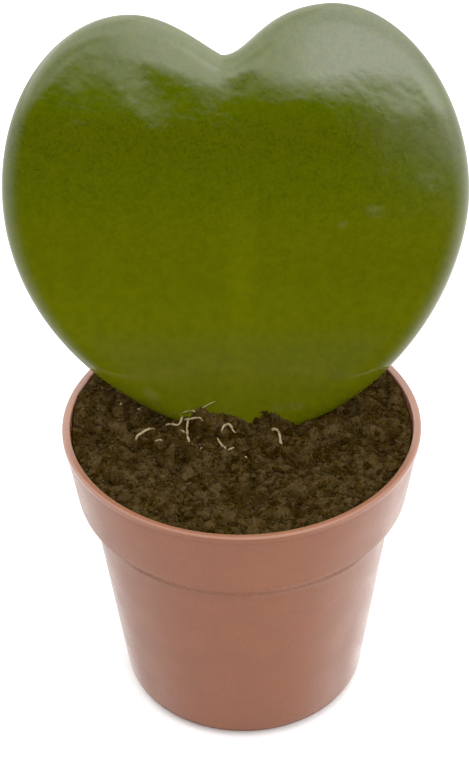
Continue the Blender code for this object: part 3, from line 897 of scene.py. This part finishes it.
def bump(tree, shader, height, depth, strength=1.0):
    """Feeds a height, whose whole range stands for the depth in metres, to the shader's normal."""
    raised = new_node(tree, "ShaderNodeBump", Height=height, Distance=depth, Strength=strength)
    feed(tree, shader.inputs["Normal"], raised.outputs["Normal"])


def plastic_finish():
    """Satin terracotta plastic, with a fine moulded grain and a little uneven colour."""
    made, tree, shader = new_material("terracotta plastic")
    patches = use(tree, CLOUDS, Size=6.0, Low=0.3, High=0.7)["Mask"]
    specks = use(tree, CLOUDS, Size=0.35, Low=0.4, High=0.75)["Mask"]
    colour = blend(tree, patches, *TERRACOTTA)
    colour = blend(tree, sums(tree, "MULTIPLY", specks, 0.22), colour, TERRACOTTA_SPECK)
    # The lip is glossier, and painted a little paler: painted light from above on its top.
    _, _, height = xyz(tree, own_place(tree))
    at_lip = ramp(tree, height, POT_HEIGHT - 0.0010, POT_HEIGHT - 0.0004)
    colour = blend(tree, sums(tree, "MULTIPLY", at_lip, 0.5), colour, TERRACOTTA_LIP_PAINTED_LIGHT)
    feed(tree, shader.inputs["Coat Weight"], sums(tree, "MULTIPLY", at_lip, 0.9))
    shader.inputs["Coat Roughness"].default_value = 0.30
    feed(tree, shader.inputs["Base Color"], colour)
    feed(tree, shader.inputs["Roughness"], ramp(tree, patches, 0, 1, 0.26, 0.32))
    shader.inputs["Specular IOR Level"].default_value = 0.20
    bump(tree, shader, use(tree, PORES, Size=0.3)["Height"], 0.000012)
    return made


def soil_finish(name, tone):
    """Moist peat, with painted shade in the bed's hollows and a darker tone by chance on loose crumbs. tone
    is the function that gives 0 where the dark colour is laid on in full and 1 where none is: 0 in a hollow
    and 1 on a crest of the bed.
    """
    made, tree, shader = new_material(name)
    patches = use(tree, CLOUDS, Size=2.6, Low=0.38, High=0.62)["Mask"]
    specks = use(tree, CLOUDS, Size=0.5, Low=0.38, High=0.66)["Mask"]
    colour = blend(tree, patches, *PEAT)
    colour = blend(tree, sums(tree, "MULTIPLY", specks, 0.55), colour, PEAT_SPECK)
    # The dark colour is painted shade in the bed's hollows, and a darker tone by chance on loose crumbs.
    colour = blend(tree, tone(tree), PEAT_DARK_AND_PAINTED_SHADE, colour)
    feed(tree, shader.inputs["Base Color"], colour)
    shader.inputs["Roughness"].default_value = 0.85
    shader.inputs["Specular IOR Level"].default_value = 0.0
    bump(tree, shader, use(tree, PORES, Size=0.35)["Height"], 0.00012)
    return made


def bed_painted_shade(tree):
    """Painted shade: the bed is darkened between its crumbs."""
    return ramp(tree, attribute(tree, "crest"), -0.00042, 0.00022)


def crumb_tone(tree):
    """Each loose crumb is darker or paler by chance."""
    return new_node(tree, "ShaderNodeNewGeometry").outputs["Random Per Island"]


def smudge_effect():
    """A soft oval on the leaf as a mask: where its middle is, how long, how wide and how far turned."""
    kinds = ("Across", "Along", "Middle Across", "Middle Along", "Length", "Width", "Turn")
    tree, given, result = effect("smudge", {kind: ("Float", 0.0) for kind in kinds}, {"Mask": "Float"})
    away = new_node(
        tree, "ShaderNodeCombineXYZ",
        X=sums(tree, "SUBTRACT", given["Across"], given["Middle Across"]),
        Y=sums(tree, "SUBTRACT", given["Along"], given["Middle Along"]),
    )
    x, y, _ = rotated(tree, away.outputs[0], given["Turn"], "Z")
    reach = new_node(
        tree, "ShaderNodeCombineXYZ",
        X=sums(tree, "DIVIDE", x, given["Length"]), Y=sums(tree, "DIVIDE", y, given["Width"]),
    )
    far = new_node(tree, "ShaderNodeVectorMath", {"operation": "LENGTH"})
    feed(tree, far.inputs[0], reach.outputs[0])
    feed(tree, result["Mask"], ramp(tree, far.outputs["Value"], 1.0, 0.2))
    return tree


def leaf_finish():
    """A waxy succulent leaf: darker at its lobes, yellower towards its foot, with painted light on its lower
    midrib and painted shade on its lower right side.
    """
    made, tree, shader = new_material("waxy leaf")
    along, across, inward = (attribute(tree, name) for name in ("along", "across", "inward"))
    clouds = use(tree, CLOUDS, Size=5.0, Low=0.3, High=0.7)["Mask"]
    mottles = use(tree, CLOUDS, Size=1.6, Low=0.3, High=0.7)["Mask"]
    flecks = use(tree, CLOUDS, Size=0.55, Low=0.35, High=0.65)["Mask"]
    colour = blend(tree, clouds, *LEAF_GREENS)
    # The right lobe is darker.
    lobe = ramp(tree, along, 0.060, 0.065, 0.0, 0.8)
    lobe = sums(tree, "MULTIPLY", ramp(tree, across, 0.006, 0.016), lobe)
    colour = blend(tree, lobe, colour, LOBE_GREEN)
    for start, end, tone in LEAF_TONES:
        colour = blend(tree, ramp(tree, along, start, end), colour, (*tone, 1))
    # Painted shade: the lower right side is a little darker and greener.
    side = ramp(tree, along, 0.040, 0.030, 0.0, 0.08)
    side = sums(tree, "MULTIPLY", ramp(tree, across, 0.006, 0.018), side)
    colour = blend(tree, side, colour, SIDE_PAINTED_SHADE)
    # Painted light: the lower midrib is paler, where its groove faces up.
    rib_light = ramp(tree, sums(tree, "ABSOLUTE", across), 0.0036, 0.0002)
    rib_light = sums(tree, "MULTIPLY", rib_light, ramp(tree, along, 0.050, 0.030, 0.0, 0.5))
    colour = blend(tree, rib_light, colour, RIB_PAINTED_LIGHT)
    colour = blend(tree, 1.0, colour, blend(tree, mottles, *MOTTLE_TINTS), "MULTIPLY")
    colour = blend(tree, sums(tree, "MULTIPLY", flecks, 0.28), colour, FLECK_GREEN)
    for middle_across, middle_along, length, width, turn, strength in SMUDGES:
        smudge = use(
            tree, SMUDGE, Across=across, Along=along, Middle_Across=middle_across, Middle_Along=middle_along,
            Length=length, Width=width, Turn=math.radians(-turn),
        )["Mask"]
        patchy = sums(tree, "MULTIPLY", smudge, ramp(tree, mottles, 0.1, 0.9, 0.2, 1.0))
        colour = blend(tree, sums(tree, "MULTIPLY", patchy, 0.14 * strength), colour, SMUDGE_GREY)
    feed(tree, shader.inputs["Base Color"], colour)
    # The wax is duller at the foot, clear of the margin, and on the leaf's back.
    dull = ramp(tree, inward, 0.0015, 0.0060, 0.0, 0.13)
    dull = sums(tree, "MULTIPLY", ramp(tree, along, 0.025, 0.017), dull)
    dull = sums(tree, "ADD", dull, sums(tree, "MULTIPLY", attribute(tree, "rear"), 0.18))
    feed(tree, shader.inputs["Roughness"], sums(tree, "ADD", ramp(tree, clouds, 0, 1, 0.032, 0.042), dull))
    shader.inputs["Specular IOR Level"].default_value = 1.0
    wisps = use(
        tree, CLOUDS, Size=2.1, Stretch=1.3, Turn=math.radians(-28), Detail=1.5, Low=0.2, High=0.8
    )["Mask"]
    bump(tree, shader, wisps, 0.000012)
    return made


def root_finish():
    """Cream rootlets, stained by the soil here and there."""
    made, tree, shader = new_material("rootlets")
    stains = use(tree, CLOUDS, Size=0.9, Low=0.42, High=0.70)["Mask"]
    colour = blend(tree, stains, ROOT_CREAM, ROOT_STAIN)
    feed(tree, shader.inputs["Base Color"], colour)
    shader.inputs["Roughness"].default_value = 0.55
    bump(tree, shader, use(tree, PORES, Size=0.2)["Height"], 0.00003)
    return made


# The studio.

# The camera: the point it looks at, how far from it and how steeply down it looks, and its roll.
CAMERA_TARGET = Vector((-0.00108, 0.0, 0.06251))
CAMERA_FAR = 0.500
CAMERA_DOWN = math.radians(37.749)
CAMERA_ROLL = math.radians(-0.845)
LENS = 143.46
SENSOR = 36.0
# The middle of the plant, which the lights face.
MIDDLE = Vector((0.0, 0.0, 0.09))
SHARP_FADE = 0.001
FLOOR_REACH = 4.0


def make_camera():
    """A long lens that looks down on the plant from the front."""
    data = bpy.data.cameras.new("camera")
    data.lens = LENS
    data.sensor_width = SENSOR
    data.clip_start = 0.01
    camera = bpy.data.objects.new("camera", data)
    bpy.context.scene.collection.objects.link(camera)
    back = Vector((0, -math.cos(CAMERA_DOWN), math.sin(CAMERA_DOWN)))
    camera.matrix_world = (
        Matrix.Translation(CAMERA_TARGET + CAMERA_FAR * back)
        @ back.to_track_quat("Z", "Y").to_matrix().to_4x4()
        @ Matrix.Rotation(CAMERA_ROLL, 4, "Z")
    )
    bpy.context.scene.camera = camera


def towards(right, up):
    """A direction from the plant: degrees round to the right of the front, and degrees up."""
    right, up = math.radians(right), math.radians(up)
    return Vector((math.sin(right) * math.cos(up), -math.cos(right) * math.cos(up), math.sin(up)))


def new_glow(name):
    """A material that has no shader yet, and its tree."""
    made = bpy.data.materials.new(name)
    made.use_nodes = True
    made.node_tree.nodes.clear()
    return made, made.node_tree


def shine(tree, strength):
    emission = new_node(tree, "ShaderNodeEmission", Strength=strength)
    output = tree.nodes.new("ShaderNodeOutputMaterial")
    tree.links.new(emission.outputs[0], output.inputs["Surface"])


def hide_from(obj, *rays):
    """Hides a thing of the studio from some kinds of rays."""
    for ray in rays:
        setattr(obj, "visible_" + ray, False)


def soft_panel(name, direction, far, width, height, glow, fades, slant=(0.0, 1.0, 1.0)):
    """A glowing panel that faces the plant.

    fades are the shares of it over which its left, right, bottom and top edges dim. slant is where, from
    left to right, its glow starts and ends to grow evenly, and the share of the glow that it starts from.
    """
    bpy.ops.mesh.primitive_plane_add(size=1)
    panel = bpy.context.object
    panel.name = name
    panel.scale = (width, height, 1)
    away = towards(*direction)
    panel.rotation_euler = (-away).to_track_quat("Z", "Y").to_euler()
    panel.location = MIDDLE + far * away
    made, tree = new_glow(name)
    x, y, _ = xyz(tree, new_node(tree, "ShaderNodeTexCoord").outputs["Generated"])
    left, right, bottom, top = fades
    light = glow
    for share, near, far_side in ((x, right, left), (y, bottom, top)):
        light = sums(tree, "MULTIPLY", light, ramp(tree, share, 0.0, max(near, SHARP_FADE)))
        light = sums(tree, "MULTIPLY", light, ramp(tree, share, 1.0, 1.0 - max(far_side, SHARP_FADE)))
    start, full, least = slant
    grown = ramp(tree, x, 1.0 - start, 1.0 - full, least, 1.0, smooth=False)
    light = sums(tree, "MULTIPLY", light, grown)
    front = sums(tree, "SUBTRACT", 1.0, new_node(tree, "ShaderNodeNewGeometry").outputs["Backfacing"])
    shine(tree, sums(tree, "MULTIPLY", light, front))
    panel.data.materials.append(made)
    hide_from(panel, "camera", "shadow", "glossy")


# How bright the dome is, by degrees to the right of the front: from its edge up, below its edge, overhead
# and down at the floor.
DOME_UPPER = (
    (-180, 2.6), (-115, 3.7), (-85, 2.9), (-60, 1.8), (-38, 0.90), (-18, 0.85), (-8, 1.6), (2, 2.2),
    (9, 3.1), (26, 3.1), (60, 2.25), (85, 2.15), (115, 2.6), (180, 2.2),
)
DOME_LOWER = (
    (-180, 1.2), (-110, 2.3), (-90, 1.85), (-64, 1.2), (-40, 0.45), (-26, 0.06), (-18, 0.0), (16, 0.0),
    (25, 0.12), (36, 0.50), (52, 1.2), (75, 2.1), (110, 2.8), (180, 1.2),
)
DOME_TOP = ((-180, 2.6), (-100, 2.4), (-45, 1.68), (-18, 1.85), (0, 2.2), (45, 2.6), (110, 2.75), (180, 2.3))
DOME_FLOOR = ((-180, 1.5), (-110, 1.5), (-70, 1.3), (65, 1.3), (100, 2.2), (150, 2.4), (180, 1.7))
DOME_PEAK = 4.0
DOME_RADIUS = 1.35
# Degrees up over which one part of it passes into the next.
DOME_EDGE = (15, 24)
DOME_OVERHEAD = (31, 47)
DOME_TO_FLOOR = (-42, -50)
# Between two angles to the right its edge comes to lie lower, by some degrees.
DOME_EDGE_DROP = (5, 18, 0.0, 3.2)
# A glow under its edge: degrees up over which it grows, and degrees to the right where it starts and ends.
GLOW_UP = (-8, 15)
GLOW_STARTS = (9, 21)
GLOW_ENDS = (66, 32)
# It is dark low down behind the plant, and half dark straight below.
DARK_BEHIND_UP = (-46, -62)
DARK_BEHIND_ASIDE = (110, 140)
DARK_BELOW = (-58, -68, 0.0, 0.5)


def round_about(tree, turn, stops):
    """A brightness that follows the angle round the plant, from its stops of (degrees, brightness)."""
    scale = new_node(tree, "ShaderNodeValToRGB", Fac=turn)
    elements = scale.color_ramp.elements
    while len(elements) < len(stops):
        elements.new(0.5)
    for element, (angle, bright) in zip(elements, stops):
        element.position = (angle + 180) / 360
        element.color = (bright / DOME_PEAK,) * 3 + (1,)
    return sums(tree, "MULTIPLY", scale.outputs["Color"], DOME_PEAK)


def mixed(tree, factor, first, second):
    """Two numbers mixed by a factor."""
    made = new_node(tree, "ShaderNodeMix", {"data_type": "FLOAT"})
    for index, given in ((0, factor), (2, first), (3, second)):
        feed(tree, made.inputs[index], given)
    return made.outputs[0]


def make_dome():
    """The bright walls and dark corners of the room that the waxy leaf mirrors. Only reflections see it."""
    bpy.ops.mesh.primitive_uv_sphere_add(segments=96, ring_count=48, radius=DOME_RADIUS, location=MIDDLE)
    dome = bpy.context.object
    dome.name = "dome"
    made, tree = new_glow("dome")
    direction = new_node(tree, "ShaderNodeVectorMath", {"operation": "NORMALIZE"})
    feed(tree, direction.inputs[0], own_place(tree))
    x, y, z = xyz(tree, direction.outputs[0])
    turn = sums(tree, "ARCTAN2", x, sums(tree, "MULTIPLY", y, -1.0))
    turn = ramp(tree, turn, -math.pi, math.pi, smooth=False)
    right = sums(tree, "SUBTRACT", sums(tree, "MULTIPLY", turn, 360.0), 180.0)
    up = sums(tree, "MULTIPLY", sums(tree, "ARCSINE", z), 180 / math.pi)

    upper, lower, top, floor = (
        round_about(tree, turn, stops) for stops in (DOME_UPPER, DOME_LOWER, DOME_TOP, DOME_FLOOR)
    )
    glow = sums(tree, "MULTIPLY", ramp(tree, up, *GLOW_UP), ramp(tree, right, *GLOW_STARTS))
    glow = sums(tree, "MULTIPLY", glow, ramp(tree, right, *GLOW_ENDS))
    lower = sums(tree, "ADD", lower, glow)
    lower = mixed(tree, ramp(tree, up, *DOME_TO_FLOOR), lower, floor)
    aside = sums(tree, "ABSOLUTE", right)
    behind = sums(tree, "MULTIPLY", ramp(tree, up, *DARK_BEHIND_UP), ramp(tree, aside, *DARK_BEHIND_ASIDE))
    dark = sums(tree, "MAXIMUM", behind, ramp(tree, up, *DARK_BELOW))
    lower = sums(tree, "MULTIPLY", lower, sums(tree, "SUBTRACT", 1.0, dark))
    edge = sums(tree, "ADD", up, ramp(tree, right, *DOME_EDGE_DROP))
    light = mixed(tree, ramp(tree, edge, *DOME_EDGE), lower, upper)
    light = mixed(tree, ramp(tree, up, *DOME_OVERHEAD), light, top)
    shine(tree, light)

    made.cycles.emission_sampling = "NONE"
    dome.data.materials.append(made)
    hide_from(dome, "camera", "diffuse", "transmission", "shadow")


def make_floor():
    """A sheet of white paper."""
    mesh = bpy.data.meshes.new("floor")
    corners = [(x * FLOOR_REACH, y * FLOOR_REACH, 0) for x, y in ((-1, -1), (1, -1), (1, 1), (-1, 1))]
    mesh.from_pydata(corners, [], [(0, 1, 2, 3)])
    finish, tree, shader = new_material("white paper")
    shade = use(tree, CLOUDS, Size=4.0, Low=0.2, High=0.8)["Mask"]
    feed(tree, shader.inputs["Base Color"], blend(tree, shade, *PAPER))
    shader.inputs["Roughness"].default_value = 0.9
    shader.inputs["Specular IOR Level"].default_value = 0.1
    floor = place("floor", mesh, finish)
    hide_from(floor, "glossy")


def make_studio():
    """White paper, an even white surrounding, three soft panels and the dome."""
    make_floor()
    world = bpy.data.worlds.new("world")
    world.use_nodes = True
    background = world.node_tree.nodes["Background"]
    background.inputs["Color"].default_value = (1, 1, 1, 1)
    background.inputs["Strength"].default_value = 1.2
    world.cycles_visibility.glossy = False
    bpy.context.scene.world = world
    bpy.context.scene.view_settings.view_transform = "Standard"

    soft_panel(
        "front light", direction=(-2.5, 32.5), far=0.90, width=0.5675, height=0.46, glow=3.3,
        fades=(0.36, 0.0, 0.22, 0.0), slant=(0.30, 0.85, 0.50),
    )
    soft_panel(
        "right light", direction=(41.5, 30), far=0.90, width=1.08, height=0.655, glow=3.0,
        fades=(0.094, 0.1, 0.26, 0.1),
    )
    soft_panel(
        "top light", direction=(0, 89.9), far=0.62, width=1.5, height=1.5, glow=2.6,
        fades=(0.0, 0.0, 0.0, 0.0),
    )
    make_dome()


CLOUDS = cloud_effect()
PORES = pore_effect()
SMUDGE = smudge_effect()
make_pot(plastic_finish())
make_soil_bed(soil_finish("peat", bed_painted_shade))
CRUMB_FINISH = soil_finish("peat crumbs", crumb_tone)
make_crumbs(CRUMB_FINISH)
make_grit(CRUMB_FINISH)
make_fibres(CRUMB_FINISH)
make_leaf(leaf_finish())
ROOT_FINISH = root_finish()
make_thread(ROOT_FINISH)
make_roots(ROOT_FINISH)
make_camera()
make_studio()
